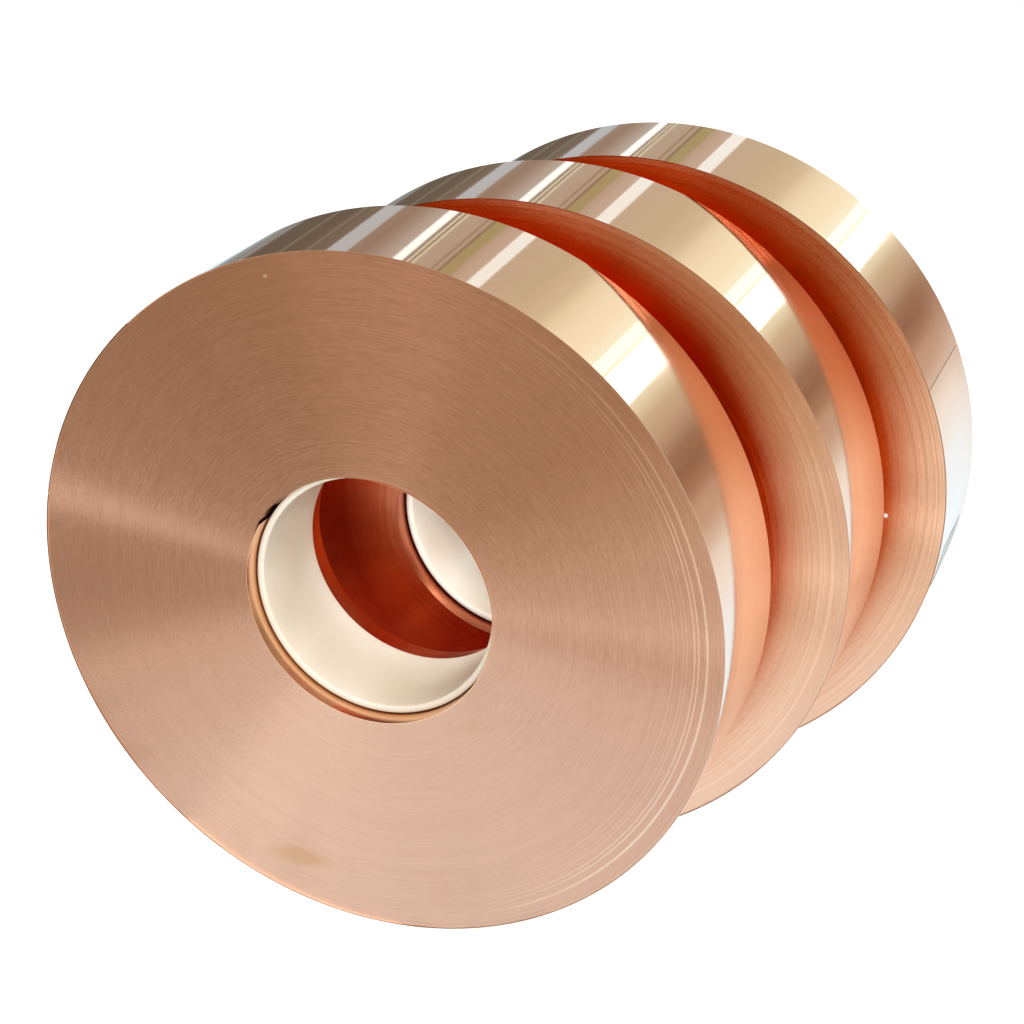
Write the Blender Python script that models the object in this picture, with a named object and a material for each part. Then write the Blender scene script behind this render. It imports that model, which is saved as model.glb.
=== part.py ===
"""Three identical coils of slit copper foil, standing on their rims one behind another.

Each roll is built the way a real one is: a moulded plastic core, an adhesive strip that
bonds the start of the foil to it, a loose first turn, the packed winding, the last turn
of foil and the free tail, whose end is held down by a clear tab.  The tail hinges open
where it leaves the last turn, and the rolls slide apart along their common direction.

Units are metres, +Z is up and the rolls' axes run along +Y.  The origin is under the
middle of the set, on the surface that the rolls stand on.
"""

import math

import bmesh
import bpy
from mathutils import Vector

MM = 0.001

# Driving dimensions of one roll
OUTER_RADIUS = 112.0 * MM
FOIL_WIDTH = 51.5 * MM
CORE_BORE_RADIUS = 38.1 * MM
CORE_WALL = 2.2 * MM
CORE_LENGTH = 36.0 * MM
CORE_INSET = 6.0 * MM
CORE_CHAMFER = 0.5 * MM
HOLE_RISE = 2.2 * MM
CLEARANCE = 0.3 * MM
FOIL_STOCK = 0.4 * MM

# Where the three rolls stand, from the first to the last
SIDE_STEPS = (0.0, 20.7 * MM, 38.8 * MM)
BACK_STEPS = (0.0, 68.0 * MM, 132.6 * MM)
ROLL_NAMES = ("front", "middle", "rear")

# Angles round a roll, in degrees from +X towards +Z
TAIL_END_ANGLES = {"front": 133.0, "middle": 136.0, "rear": -13.0}
TAIL_SPAN = 36.0
TAIL_SLIT = 0.4
START_EDGE_ANGLE = 150.0
START_TURN_SPAN = 346.0

# Adhesive strip between the core and the first turn, in a shallow pocket of the core
STRIP_CENTRE_ANGLE = 120.0
STRIP_SPAN = 26.0
STRIP_THICKNESS = 0.3 * MM
STRIP_LENGTH = 30.0 * MM
POCKET_MARGIN = 0.8 * MM

# Clear tab that holds the tail's end
TAB_SPAN = 9.5
TAB_WIDTH = 34.0 * MM
TAB_THICKNESS = 0.25 * MM

# Facets
RING_STEPS = 72
DEGREES_PER_STEP = 360.0 / RING_STEPS
CUTTER_OVERSHOOT = 2.0 * MM

# Worked out from the values above
CORE_OUTER_RADIUS = CORE_BORE_RADIUS + CORE_WALL
POCKET_RADIUS = CORE_OUTER_RADIUS - STRIP_THICKNESS - 1.4 * CLEARANCE
STRIP_RADIUS = POCKET_RADIUS + CLEARANCE
START_TURN_RADIUS = CORE_OUTER_RADIUS + 1.4 * CLEARANCE
WINDING_INNER_RADIUS = START_TURN_RADIUS + FOIL_STOCK + CLEARANCE
LAST_TURN_RADIUS = OUTER_RADIUS - FOIL_STOCK
WINDING_OUTER_RADIUS = LAST_TURN_RADIUS - CLEARANCE
TAB_RADIUS = OUTER_RADIUS + CLEARANCE
SET_LENGTH = BACK_STEPS[-1] + FOIL_WIDTH
SET_SIDE = SIDE_STEPS[-1]

# Colours as linear RGB, then roughness and metallic
FINISHES = {
    "copper_edge": ((0.47, 0.21, 0.12, 1.0), 0.34, 1.0),
    "copper_bright": ((0.72, 0.33, 0.18, 1.0), 0.12, 1.0),
    "core_plastic": ((0.78, 0.70, 0.52, 1.0), 0.30, 0.0),
    "strip_adhesive": ((0.80, 0.74, 0.55, 1.0), 0.55, 0.0),
    "tab_film": ((0.55, 0.57, 0.52, 1.0), 0.25, 0.0),
}


def clear_scene():
    """Remove every object of the open scene."""
    for item in list(bpy.data.objects):
        bpy.data.objects.remove(item, do_unlink=True)


def finish_material(name):
    """A Principled material with one of the finishes above."""
    material = bpy.data.materials.get(name)
    if material is None:
        colour, roughness, metallic = FINISHES[name]
        material = bpy.data.materials.new(name)
        material.use_nodes = True
        shader = material.node_tree.nodes["Principled BSDF"]
        shader.inputs["Base Color"].default_value = colour
        shader.inputs["Roughness"].default_value = roughness
        shader.inputs["Metallic"].default_value = metallic
        material.diffuse_color = colour
    return material


def add_empty(name, location, parent=None):
    """An empty that carries one roll or stands on a tail's hinge axis."""
    empty = bpy.data.objects.new(name, None)
    empty.empty_display_size = 0.02
    empty.location = location
    empty.parent = parent
    bpy.context.collection.objects.link(empty)
    return empty


def add_object(name, bm, finish, parent, offset=(0.0, 0.0, 0.0)):
    """Turn a bmesh into a smooth-shaded object under its empty."""
    bmesh.ops.recalc_face_normals(bm, faces=bm.faces)
    mesh = bpy.data.meshes.new(name)
    bm.to_mesh(mesh)
    bm.free()
    mesh.shade_smooth()
    mesh.set_sharp_from_angle(angle=math.radians(30.0))
    mesh.materials.append(finish_material(finish))
    item = bpy.data.objects.new(name, mesh)
    item.parent = parent
    item.location = offset
    bpy.context.collection.objects.link(item)
    return item


def at_angle(radius, degrees, y=0.0, rise=0.0):
    """The point at a radius and an angle round the roll's axis, in the roll's own frame."""
    angle = math.radians(degrees)
    return Vector((radius * math.cos(angle), y, rise + radius * math.sin(angle)))


def flat_radius(radius, step_degrees=DEGREES_PER_STEP):
    """Corner radius of a faceted ring whose flats lie at the given radius."""
    return radius / math.cos(math.radians(step_degrees / 2.0))


def swept_ring(profile, rise=0.0, start=None, span=360.0):
    """Spin a closed profile of (radius, y) points round the roll's axis.

    A full ring starts half a step off the bottom, so a flat facet faces down.
    A part ring is capped by its two end faces.
    """
    full = start is None
    first = -90.0 + DEGREES_PER_STEP / 2.0 if full else start
    steps = RING_STEPS if full else max(2, math.ceil(span / DEGREES_PER_STEP))
    bm = bmesh.new()
    corners = [bm.verts.new(at_angle(radius, first, y, rise)) for radius, y in profile]
    face = bm.faces.new(corners)
    geometry = list(corners) + list(face.edges)
    if full:
        bmesh.ops.delete(bm, geom=[face], context="FACES_ONLY")
    else:
        geometry.append(face)
    bmesh.ops.spin(
        bm, geom=geometry, cent=(0.0, 0.0, rise), axis=(0.0, -1.0, 0.0),
        angle=math.radians(span), steps=steps, use_merge=full,
    )
    return bm


def box_profile(inner, outer, low, high):
    """Rectangle of (radius, y) points."""
    return [(inner, low), (outer, low), (outer, high), (inner, high)]


def chamfered_profile(inner, outer, low, high, chamfer):
    """Rectangle of (radius, y) points with its four corners cut at 45 degrees."""
    return [
        (inner, low + chamfer), (inner + chamfer, low),
        (outer - chamfer, low), (outer, low + chamfer),
        (outer, high - chamfer), (outer - chamfer, high),
        (inner + chamfer, high), (inner, high - chamfer),
    ]


def circle_loop(bm, radius, y, rise):
    """Edges of one faceted circle round the roll's axis, flat side down."""
    corner = flat_radius(radius)
    first = -90.0 + DEGREES_PER_STEP / 2.0
    ring = [
        bm.verts.new(at_angle(corner, first + step * DEGREES_PER_STEP, y, rise))
        for step in range(RING_STEPS)
    ]
    return [bm.edges.new((ring[i - 1], ring[i])) for i in range(RING_STEPS)]


def add_winding(roll, parent):
    """The packed turns: a disc with a hole whose centre sits a little above the rim's."""
    bm = bmesh.new()
    front_rim = circle_loop(bm, WINDING_OUTER_RADIUS, 0.0, 0.0)
    back_rim = circle_loop(bm, WINDING_OUTER_RADIUS, FOIL_WIDTH, 0.0)
    front_hole = circle_loop(bm, WINDING_INNER_RADIUS, 0.0, HOLE_RISE)
    back_hole = circle_loop(bm, WINDING_INNER_RADIUS, FOIL_WIDTH, HOLE_RISE)
    around = (front_rim, back_rim, back_hole, front_hole)
    for index, loop in enumerate(around):
        bmesh.ops.bridge_loops(bm, edges=around[index - 1] + loop)
    return add_object(f"{roll}_winding", bm, "copper_edge", parent)


def add_core(roll, parent):
    """Moulded core with chamfered lips and a shallow pocket for the adhesive strip."""
    back = CORE_INSET + CORE_LENGTH
    profile = chamfered_profile(
        CORE_BORE_RADIUS, flat_radius(CORE_OUTER_RADIUS), CORE_INSET, back, CORE_CHAMFER
    )
    core = add_object(f"{roll}_core", swept_ring(profile, HOLE_RISE), "core_plastic", parent)
    margin = math.degrees(POCKET_MARGIN / CORE_OUTER_RADIUS)
    low, high = strip_ends(POCKET_MARGIN)
    cutter_mesh = swept_ring(
        box_profile(POCKET_RADIUS, CORE_OUTER_RADIUS + CUTTER_OVERSHOOT, low, high),
        HOLE_RISE, strip_start() - margin, STRIP_SPAN + 2.0 * margin,
    )
    cutter = add_object(f"{roll}_pocket_cutter", cutter_mesh, "core_plastic", parent)
    cutter.hide_render = True
    cutter.display_type = "WIRE"
    cut = core.modifiers.new("pocket", "BOOLEAN")
    cut.operation = "DIFFERENCE"
    cut.object = cutter
    return core


def strip_start():
    """Angle at which the adhesive strip begins."""
    return STRIP_CENTRE_ANGLE - STRIP_SPAN / 2.0


def strip_ends(margin=0.0):
    """The strip's two ends along the roll, centred on the core."""
    middle = CORE_INSET + CORE_LENGTH / 2.0
    reach = STRIP_LENGTH / 2.0 + margin
    return middle - reach, middle + reach


def add_core_strip(roll, parent):
    """Double-sided strip that bonds the first turn of foil to the core."""
    low, high = strip_ends()
    profile = box_profile(STRIP_RADIUS, STRIP_RADIUS + STRIP_THICKNESS, low, high)
    bm = swept_ring(profile, HOLE_RISE, strip_start(), STRIP_SPAN)
    return add_object(f"{roll}_core_strip", bm, "strip_adhesive", parent)


def add_start_turn(roll, parent):
    """First turn of foil, an open ring whose cut edge stands clear of the winding."""
    profile = box_profile(
        START_TURN_RADIUS, START_TURN_RADIUS + FOIL_STOCK, 0.0, FOIL_WIDTH
    )
    bm = swept_ring(profile, HOLE_RISE, START_EDGE_ANGLE, START_TURN_SPAN)
    return add_object(f"{roll}_start_turn", bm, "copper_bright", parent)


def add_last_turn(roll, parent, tail_end):
    """Last turn of foil, from the far side of the tail's end round to the tail's root."""
    corner = flat_radius(OUTER_RADIUS)
    profile = box_profile(LAST_TURN_RADIUS, corner, 0.0, FOIL_WIDTH)
    bm = bmesh.new()
    first = tail_end + TAIL_SPAN
    stations = last_turn_stations(first, tail_end + 360.0 - TAIL_SLIT)
    rings = [
        [bm.verts.new(at_angle(rim_radius(radius, corner, angle), angle, y))
         for radius, y in profile]
        for angle in stations
    ]
    for here, there in zip(rings, rings[1:]):
        for index in range(len(profile)):
            bm.faces.new((here[index - 1], here[index], there[index], there[index - 1]))
    bm.faces.new(rings[0])
    bm.faces.new(reversed(rings[-1]))
    return add_object(f"{roll}_last_turn", bm, "copper_bright", parent)


def last_turn_stations(first, last):
    """Angles of the last turn's corners: its two ends and the rim's facet corners between."""
    corner_offset = -90.0 + DEGREES_PER_STEP / 2.0
    index = math.ceil((first - corner_offset) / DEGREES_PER_STEP + 0.1)
    stations = [first]
    while corner_offset + index * DEGREES_PER_STEP < last - 0.5:
        stations.append(corner_offset + index * DEGREES_PER_STEP)
        index += 1
    stations.append(last)
    return stations


def rim_radius(radius, corner, angle):
    """Keep the last turn's two ends on the flats of the faceted rim."""
    if radius != corner:
        return radius
    off_flat = (angle + 90.0 + DEGREES_PER_STEP / 2.0) % DEGREES_PER_STEP
    return OUTER_RADIUS / math.cos(math.radians(off_flat - DEGREES_PER_STEP / 2.0))


def add_tail(roll, hinge, tail_end):
    """Free tail of the foil, lying on the roll, and the clear tab over its end."""
    root = tail_root(tail_end)
    profile = box_profile(LAST_TURN_RADIUS, OUTER_RADIUS, 0.0, FOIL_WIDTH)
    bm = swept_ring(profile, 0.0, tail_end, TAIL_SPAN - TAIL_SLIT)
    add_object(f"{roll}_tail", bm, "copper_bright", hinge, -root)
    low = (FOIL_WIDTH - TAB_WIDTH) / 2.0
    tab_profile = box_profile(TAB_RADIUS, TAB_RADIUS + TAB_THICKNESS, low, low + TAB_WIDTH)
    tab = swept_ring(tab_profile, 0.0, tail_end - TAB_SPAN / 2.0, TAB_SPAN)
    add_object(f"{roll}_end_tab", tab, "tab_film", hinge, -root)


def tail_root(tail_end):
    """Point on the hinge axis, in the slit where the tail leaves the last turn."""
    middle_of_foil = OUTER_RADIUS - FOIL_STOCK / 2.0
    return at_angle(middle_of_foil, tail_end + TAIL_SPAN - TAIL_SLIT / 2.0)


def add_roll(roll, side, back):
    """One complete roll, standing on the floor at its place in the set."""
    centre = (side - SET_SIDE / 2.0, back - SET_LENGTH / 2.0, OUTER_RADIUS)
    carrier = add_empty(f"{roll}_roll_axis", centre)
    tail_end = TAIL_END_ANGLES[roll]
    add_core(roll, carrier)
    add_core_strip(roll, carrier)
    add_start_turn(roll, carrier)
    add_winding(roll, carrier)
    add_last_turn(roll, carrier, tail_end)
    hinge = add_empty(f"{roll}_tail_hinge", tail_root(tail_end), carrier)
    add_tail(roll, hinge, tail_end)


clear_scene()
for roll_name, side_step, back_step in zip(ROLL_NAMES, SIDE_STEPS, BACK_STEPS):
    add_roll(roll_name, side_step, back_step)
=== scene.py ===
# %% [markdown]
# # Three rolls of copper foil
#
# Each roll has an ivory plastic core, a long strip of bright foil wound round it turn on
# turn, and a free tail that a clear tab holds down. The engineering model fixes every size
# and joint, so each step asks it where a piece is and then gives the piece its surface.

# %% Load the fixed model
import math

import bpy
import numpy as np
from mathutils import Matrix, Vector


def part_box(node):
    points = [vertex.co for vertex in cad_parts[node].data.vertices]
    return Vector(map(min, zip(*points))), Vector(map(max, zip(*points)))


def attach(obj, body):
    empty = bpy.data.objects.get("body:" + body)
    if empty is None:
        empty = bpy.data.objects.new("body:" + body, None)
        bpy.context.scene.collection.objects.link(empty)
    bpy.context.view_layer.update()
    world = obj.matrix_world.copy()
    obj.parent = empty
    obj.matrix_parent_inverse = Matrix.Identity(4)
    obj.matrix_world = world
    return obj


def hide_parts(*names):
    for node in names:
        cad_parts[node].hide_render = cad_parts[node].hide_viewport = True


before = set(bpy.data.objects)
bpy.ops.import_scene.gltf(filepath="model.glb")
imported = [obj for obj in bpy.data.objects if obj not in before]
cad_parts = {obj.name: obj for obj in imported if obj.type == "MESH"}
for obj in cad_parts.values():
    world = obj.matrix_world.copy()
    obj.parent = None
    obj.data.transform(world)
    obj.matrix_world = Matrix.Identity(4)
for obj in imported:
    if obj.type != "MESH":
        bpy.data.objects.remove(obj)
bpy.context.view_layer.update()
MM = 0.001
ROLLS = ("front", "middle", "rear")

# %% [markdown]
# ## The camera
#
# The set is seen from the right and from above, with a long lens. The camera comes first
# because every other choice is judged through it. It could track a target, but a place
# measured from the front roll and two angles say the same without a constraint.

# %% Camera
CAMERA_TURN = math.radians(20.94)
CAMERA_RISE = math.radians(23.54)
CAMERA_LENS = 73.58
front_low, front_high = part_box("front_winding")
CAMERA_POINT = (front_low.x + 0.3554, front_low.y - 0.5151, 0.3919)


def add_camera():
    """A long lens at CAMERA_POINT, turned left by CAMERA_TURN and tipped down by CAMERA_RISE."""
    data = bpy.data.cameras.new("product_camera")
    data.lens = CAMERA_LENS
    camera = bpy.data.objects.new("product_camera", data)
    camera.location = CAMERA_POINT
    camera.rotation_euler = (math.pi / 2 - CAMERA_RISE, 0.0, CAMERA_TURN)
    bpy.context.collection.objects.link(camera)
    bpy.context.scene.camera = camera
    return camera


print("camera at", tuple(round(value, 3) for value in add_camera().location))

# %% [markdown]
# ## Measures of a roll
#
# The rolls are alike, so one small record per roll is enough: its axis, the foil's width,
# the rim and the core, all read from the engineering model's boxes. The core sits a little
# higher than the rim's centre, because a heavy winding settles, so it is read separately.

# %% Read the measures
TAIL_ENDS = {"front": 133.0, "middle": 136.0, "rear": -13.0}
TAIL_SPAN = 35.78
TAIL_SLIT = 0.12
FOIL = 0.14 * MM


def measure_roll(name):
    """Radii, ends and centres of one roll, from the boxes of its winding, rim and core."""
    wind_low, wind_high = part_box(f"{name}_winding")
    rim_low, rim_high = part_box(f"{name}_last_turn")
    core_low, core_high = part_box(f"{name}_core")
    rim_radius = (rim_high.z - rim_low.z) / 2
    core_centre = (core_low.z + core_high.z) / 2
    return {
        "name": name,
        "x": (wind_low.x + wind_high.x) / 2,
        "z": rim_low.z + rim_radius,
        "rise": core_centre - rim_low.z - rim_radius,
        "front": wind_low.y,
        "back": wind_high.y,
        "rim": rim_radius,
        "core_outer": (core_high.z - core_low.z) / 2,
        "core_front": core_low.y,
        "core_back": core_high.y,
        "tail_end": TAIL_ENDS[name],
    }


rolls = {name: measure_roll(name) for name in ROLLS}
for roll in rolls.values():
    print(roll["name"], {key: round(value, 4) for key, value in roll.items() if key != "name"})

# %% [markdown]
# ## Surfaces from grids
#
# Every piece is a closed outline carried round an axis, so one helper makes them all from
# an array of points with one outline per station. Neighbouring outlines are joined with
# four-sided faces, and the stations close into a ring or are capped at both ends. Modifiers
# could do it, but whole arrays are quick and keep every formula in one place.

# %% Mesh helper


def face_table(stations, corners, closed):
    """Vertex numbers of all quads: station i to i+1, corner j to j+1, both wrapping."""
    i = np.arange(stations if closed else stations - 1)[:, None]
    j = np.arange(corners)[None, :]
    after_i = (i + 1) % stations
    after_j = (j + 1) % corners
    quads = [i * corners + j, after_i * corners + j, after_i * corners + after_j, i * corners + after_j]
    return np.stack(np.broadcast_arrays(*quads), axis=-1).reshape(-1, 4)


def signed_volume(points, quads):
    """Six times the volume inside the quads: the sum of the corners' triple products."""
    a, b, c, d = (points[quads[:, k]] for k in range(4))
    first = np.einsum("ij,ij->i", a, np.cross(b, c))
    second = np.einsum("ij,ij->i", a, np.cross(c, d))
    return float((first + second).sum())


def grid_piece(name, grid, closed, along, around, turn=None, lean=None):
    """Mesh object from grid[station, corner, xyz], with faces pointing outwards.

    along and around are distances along the outline and round the roll, one for each
    corner or station and one more for the close. They become U and V of the UV map.
    turn and lean, where given, say how far out each point lies and which way it leans.
    """
    stations, corners = grid.shape[:2]
    points = grid.reshape(-1, 3)
    quads = face_table(stations, corners, closed)
    i, j = np.divmod(np.arange(len(quads)), corners)
    u = np.stack([along[j], along[j], along[j + 1], along[j + 1]], axis=-1)
    v = np.stack([around[i], around[i + 1], around[i + 1], around[i]], axis=-1)
    if signed_volume(points - points.mean(axis=0), quads) < 0.0:
        quads, u, v = quads[:, ::-1], u[:, ::-1], v[:, ::-1]
        caps = [np.arange(corners), np.arange(corners)[::-1] + (stations - 1) * corners]
    else:
        caps = [np.arange(corners)[::-1], np.arange(corners) + (stations - 1) * corners]
    faces = quads.tolist()
    if not closed:
        faces += [cap.tolist() for cap in caps]
    mesh = bpy.data.meshes.new(name)
    mesh.from_pydata(points.tolist(), [], faces)
    layer = mesh.uv_layers.new(name="foil")
    values = np.zeros((len(mesh.loops), 2))
    values[:quads.size] = np.stack([u.ravel(), v.ravel()], axis=-1)
    layer.data.foreach_set("uv", values.ravel())
    if turn is not None:
        marks = mesh.attributes.new("turn", "FLOAT", "POINT")
        marks.data.foreach_set("value", np.asarray(turn, dtype=np.float32).ravel())
    if lean is not None:
        arrows = mesh.attributes.new("lean", "FLOAT_VECTOR", "POINT")
        arrows.data.foreach_set("vector", np.asarray(lean, dtype=np.float32).ravel())
    mesh.shade_smooth()
    mesh.set_sharp_from_angle(angle=math.radians(35.0))
    piece = bpy.data.objects.new(name, mesh)
    bpy.context.collection.objects.link(piece)
    print(name, len(mesh.polygons), "faces")
    return piece


def running_length(outline):
    """Distance along a closed outline at each corner, and once more back at the first."""
    steps = np.linalg.norm(np.roll(outline, -1, axis=0) - outline, axis=1)
    return np.concatenate([[0.0], np.cumsum(steps)])


def round_the_axis(roll, radius, y, angles, rise):
    """Points at a radius and an angle: x + r cos a, y, z + rise + r sin a."""
    grid = np.empty(np.broadcast_shapes(radius.shape, angles.shape) + (3,))
    grid[..., 0] = roll["x"] + radius * np.cos(angles)
    grid[..., 1] = y
    grid[..., 2] = roll["z"] + rise + radius * np.sin(angles)
    return grid


# %% [markdown]
# ## Shader helpers
#
# Materials are trees of nodes, and short helpers keep them readable. A value that is the
# same all over a surface is typed into the shader's own socket, and only what changes over
# the surface is wired in.

# %% Node helpers


def add_node(tree, kind, **values):
    """Add a node; a value named like a socket sets the socket, any other a property."""
    node = tree.nodes.new(kind)
    for key, value in values.items():
        socket = node.inputs.get(key.replace("_", " "))
        if hasattr(node, key):
            setattr(node, key, value)
        elif socket is not None:
            socket.default_value = value
        else:
            raise KeyError(f"{kind} has no {key}")
    return node


def math_node(tree, operation, first, second=None, third=None):
    """One arithmetic step; an input is a number or another node's output."""
    node = tree.nodes.new("ShaderNodeMath")
    node.operation = operation
    for socket, value in zip(node.inputs, (first, second, third)):
        if value is None:
            continue
        if isinstance(value, (int, float)):
            socket.default_value = value
        else:
            tree.links.new(value, socket)
    return node.outputs[0]


def split_vector(tree, vector):
    """The X, Y and Z parts of a vector, as a node's outputs."""
    split = tree.nodes.new("ShaderNodeSeparateXYZ")
    tree.links.new(vector, split.inputs["Vector"])
    return split.outputs


def new_material(name, **values):
    """A material with a Principled shader whose constant sockets are set here."""
    material = bpy.data.materials.new(name)
    material.use_nodes = True
    shader = material.node_tree.nodes["Principled BSDF"]
    for key, value in values.items():
        shader.inputs[key.replace("_", " ")].default_value = value
    return material, material.node_tree, shader


def blend_colours(tree, mask, first, second):
    """Mix two colours by a mask; each colour is a tuple or another node's output."""
    mix = tree.nodes.new("ShaderNodeMix")
    mix.data_type = "RGBA"
    tree.links.new(mask, mix.inputs["Factor"])
    colour_sockets = [socket for socket in mix.inputs if socket.type == "RGBA"]
    for socket, colour in zip(colour_sockets, (first, second)):
        if isinstance(colour, tuple):
            socket.default_value = colour
        else:
            tree.links.new(colour, socket)
    return [socket for socket in mix.outputs if socket.type == "RGBA"][0]


def map_range(tree, value, low, high, to_low, to_high):
    """Stretch a value from one range to another and clamp it there."""
    node = add_node(tree, "ShaderNodeMapRange")
    tree.links.new(value, node.inputs["Value"])
    for key, number in (("From Min", low), ("From Max", high), ("To Min", to_low), ("To Max", to_high)):
        node.inputs[key].default_value = number
    return node.outputs["Result"]


print("helpers ready")

# %% [markdown]
# ## Copper, seen on its slit edge
#
# The side of a roll is hundreds of foil edges pressed together. Each stands a hair higher
# or lower than the next, so light is drawn out along the radius and the eye reads very fine
# circles. They could be modelled, but belong in a shader: the mesh carries a number called
# turn, the distance out from the hole, and a noise along it gives lines without a seam.

# %% Node group for the wound lines


def group_sockets(group, inputs, outputs):
    """Named sockets on a node group: inputs with their usual values, then outputs."""
    for name, kind, value in inputs:
        socket = group.interface.new_socket(name=name, in_out="INPUT", socket_type=kind)
        if value is not None:
            socket.default_value = value
    for name, kind in outputs:
        group.interface.new_socket(name=name, in_out="OUTPUT", socket_type=kind)
    return group.nodes.new("NodeGroupInput"), group.nodes.new("NodeGroupOutput")


def line_noise(tree, position, per_metre, detail):
    """Noise along one coordinate, at so many wiggles per metre."""
    noise = tree.nodes.new("ShaderNodeTexNoise")
    noise.noise_dimensions = "1D"
    noise.inputs["Scale"].default_value = per_metre
    noise.inputs["Detail"].default_value = detail
    noise.inputs["Roughness"].default_value = 0.65
    tree.links.new(position, noise.inputs["W"])
    return noise.outputs["Fac"]


def make_line_group():
    """Lines across one coordinate: a tone for colour and a height for the bump.

    Three noises of different pitch are added: single lines, groups of lines, broad bands.
    """
    group = bpy.data.node_groups.new("fine_lines", "ShaderNodeTree")
    start, end = group_sockets(
        group,
        [("Position", "NodeSocketFloat", 0.0), ("Bands", "NodeSocketFloat", 0.3)],
        [("Tone", "NodeSocketFloat"), ("Height", "NodeSocketFloat")],
    )
    fine = line_noise(group, start.outputs["Position"], 5200.0, 3.0)
    middle = line_noise(group, start.outputs["Position"], 1300.0, 2.0)
    broad = line_noise(group, start.outputs["Position"], 160.0, 2.0)
    fine_part = math_node(group, "MULTIPLY", fine, 0.6)
    middle_part = math_node(group, "MULTIPLY", middle, 0.4)
    height = math_node(group, "ADD", fine_part, middle_part)
    banded = math_node(group, "MULTIPLY", broad, start.outputs["Bands"])
    tone = math_node(group, "ADD", height, banded)
    group.links.new(height, end.inputs["Height"])
    group.links.new(tone, end.inputs["Tone"])
    return group


def make_dash_group():
    """Short dashes that follow the turns: a noise stretched along the arc.

    Its place is the distance out, times Across, and the heading, times Along, so the
    pattern meets itself after one turn.
    """
    group = bpy.data.node_groups.new("turn_dashes", "ShaderNodeTree")
    start, end = group_sockets(
        group,
        [
            ("Position", "NodeSocketFloat", 0.0), ("Heading", "NodeSocketVector", None),
            ("Across", "NodeSocketFloat", 1300.0), ("Along", "NodeSocketFloat", 20.0),
        ],
        [("Mask", "NodeSocketFloat")],
    )
    out = math_node(group, "MULTIPLY", start.outputs["Position"], start.outputs["Across"])
    scaled = add_node(group, "ShaderNodeVectorMath", operation="SCALE")
    group.links.new(start.outputs["Heading"], scaled.inputs[0])
    group.links.new(start.outputs["Along"], scaled.inputs["Scale"])
    parts = split_vector(group, scaled.outputs["Vector"])
    place = group.nodes.new("ShaderNodeCombineXYZ")
    group.links.new(parts["X"], place.inputs["X"])
    group.links.new(out, place.inputs["Y"])
    group.links.new(parts["Z"], place.inputs["Z"])
    noise = add_node(group, "ShaderNodeTexNoise", Scale=1.0, Detail=2.5, Roughness=0.6)
    group.links.new(place.outputs["Vector"], noise.inputs["Vector"])
    group.links.new(noise.outputs["Fac"], end.inputs["Mask"])
    return group


fine_lines = make_line_group()
turn_dashes = make_dash_group()
for group in (fine_lines, turn_dashes):
    print("group:", group.name, [item.name for item in group.interface.items_tree])

# %% [markdown]
# Between two rolls light goes from copper to copper and gets redder each time. To follow
# it so far is slow, so an ambient occlusion node, its feelers leaning to one side, asks how
# much metal stands close in front, and painted shade turns the colour from pink through
# orange to deep red, with painted light in orange beside the hole. A few proud turns near
# the rim get a painted highlight, a stain and a white spot have places of their own, and
# so has a painted glint on the rear roll. The burr that slitting leaves tips each edge, so
# the normal leans.

# %% Material of the slit edges


def place_group(tree, group, **values):
    """Put a node group in a tree; a value is a number, or another node's output."""
    node = tree.nodes.new("ShaderNodeGroup")
    node.node_tree = group
    for key, value in values.items():
        socket = node.inputs[key.replace("_", " ")]
        if isinstance(value, (int, float, tuple)):
            socket.default_value = value
        else:
            tree.links.new(value, socket)
    return node


def bump_to_normal(tree, shader, height, distance, base=None):
    """Feed a height through a Bump node into the shader's normal, over a base normal."""
    bump = add_node(tree, "ShaderNodeBump", Strength=1.0, Distance=distance)
    tree.links.new(height, bump.inputs["Height"])
    if base is not None:
        tree.links.new(base, bump.inputs["Normal"])
    tree.links.new(bump.outputs["Normal"], shader.inputs["Normal"])


def radial_tangent(tree, shader):
    """Draw highlights out along U of the UV map, which runs across the foil's edges."""
    tangent = tree.nodes.new("ShaderNodeTangent")
    tangent.direction_type = "UV_MAP"
    tangent.uv_map = "foil"
    tree.links.new(tangent.outputs["Tangent"], shader.inputs["Tangent"])


def leaning_normal(tree, lean):
    """The surface's normal plus a lean, a vector or another node's output, at unit length."""
    surface = tree.nodes.new("ShaderNodeNewGeometry")
    total = add_node(tree, "ShaderNodeVectorMath", operation="ADD")
    tree.links.new(surface.outputs["Normal"], total.inputs[0])
    if isinstance(lean, tuple):
        total.inputs[1].default_value = lean
    else:
        tree.links.new(lean, total.inputs[1])
    unit = add_node(tree, "ShaderNodeVectorMath", operation="NORMALIZE")
    tree.links.new(total.outputs["Vector"], unit.inputs[0])
    return unit.outputs["Vector"]


def stain_mask(tree, scale, threshold):
    """Soft scattered spots: a noise on object coordinates, kept only near its peaks."""
    place = tree.nodes.new("ShaderNodeTexCoord")
    noise = add_node(tree, "ShaderNodeTexNoise", Scale=scale, Detail=4.0)
    tree.links.new(place.outputs["Object"], noise.inputs["Vector"])
    return map_range(tree, noise.outputs["Fac"], threshold, threshold + 0.12, 0.0, 1.0)


def crevice_openness(tree, reach, glance):
    """One in the open, and less where other metal stands close before the surface.

    The feelers are spread round the surface's normal plus a glance to one side.
    """
    shade = add_node(tree, "ShaderNodeAmbientOcclusion", samples=16, Distance=reach)
    tree.links.new(leaning_normal(tree, glance), shade.inputs["Normal"])
    return shade.outputs["AO"]


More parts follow.
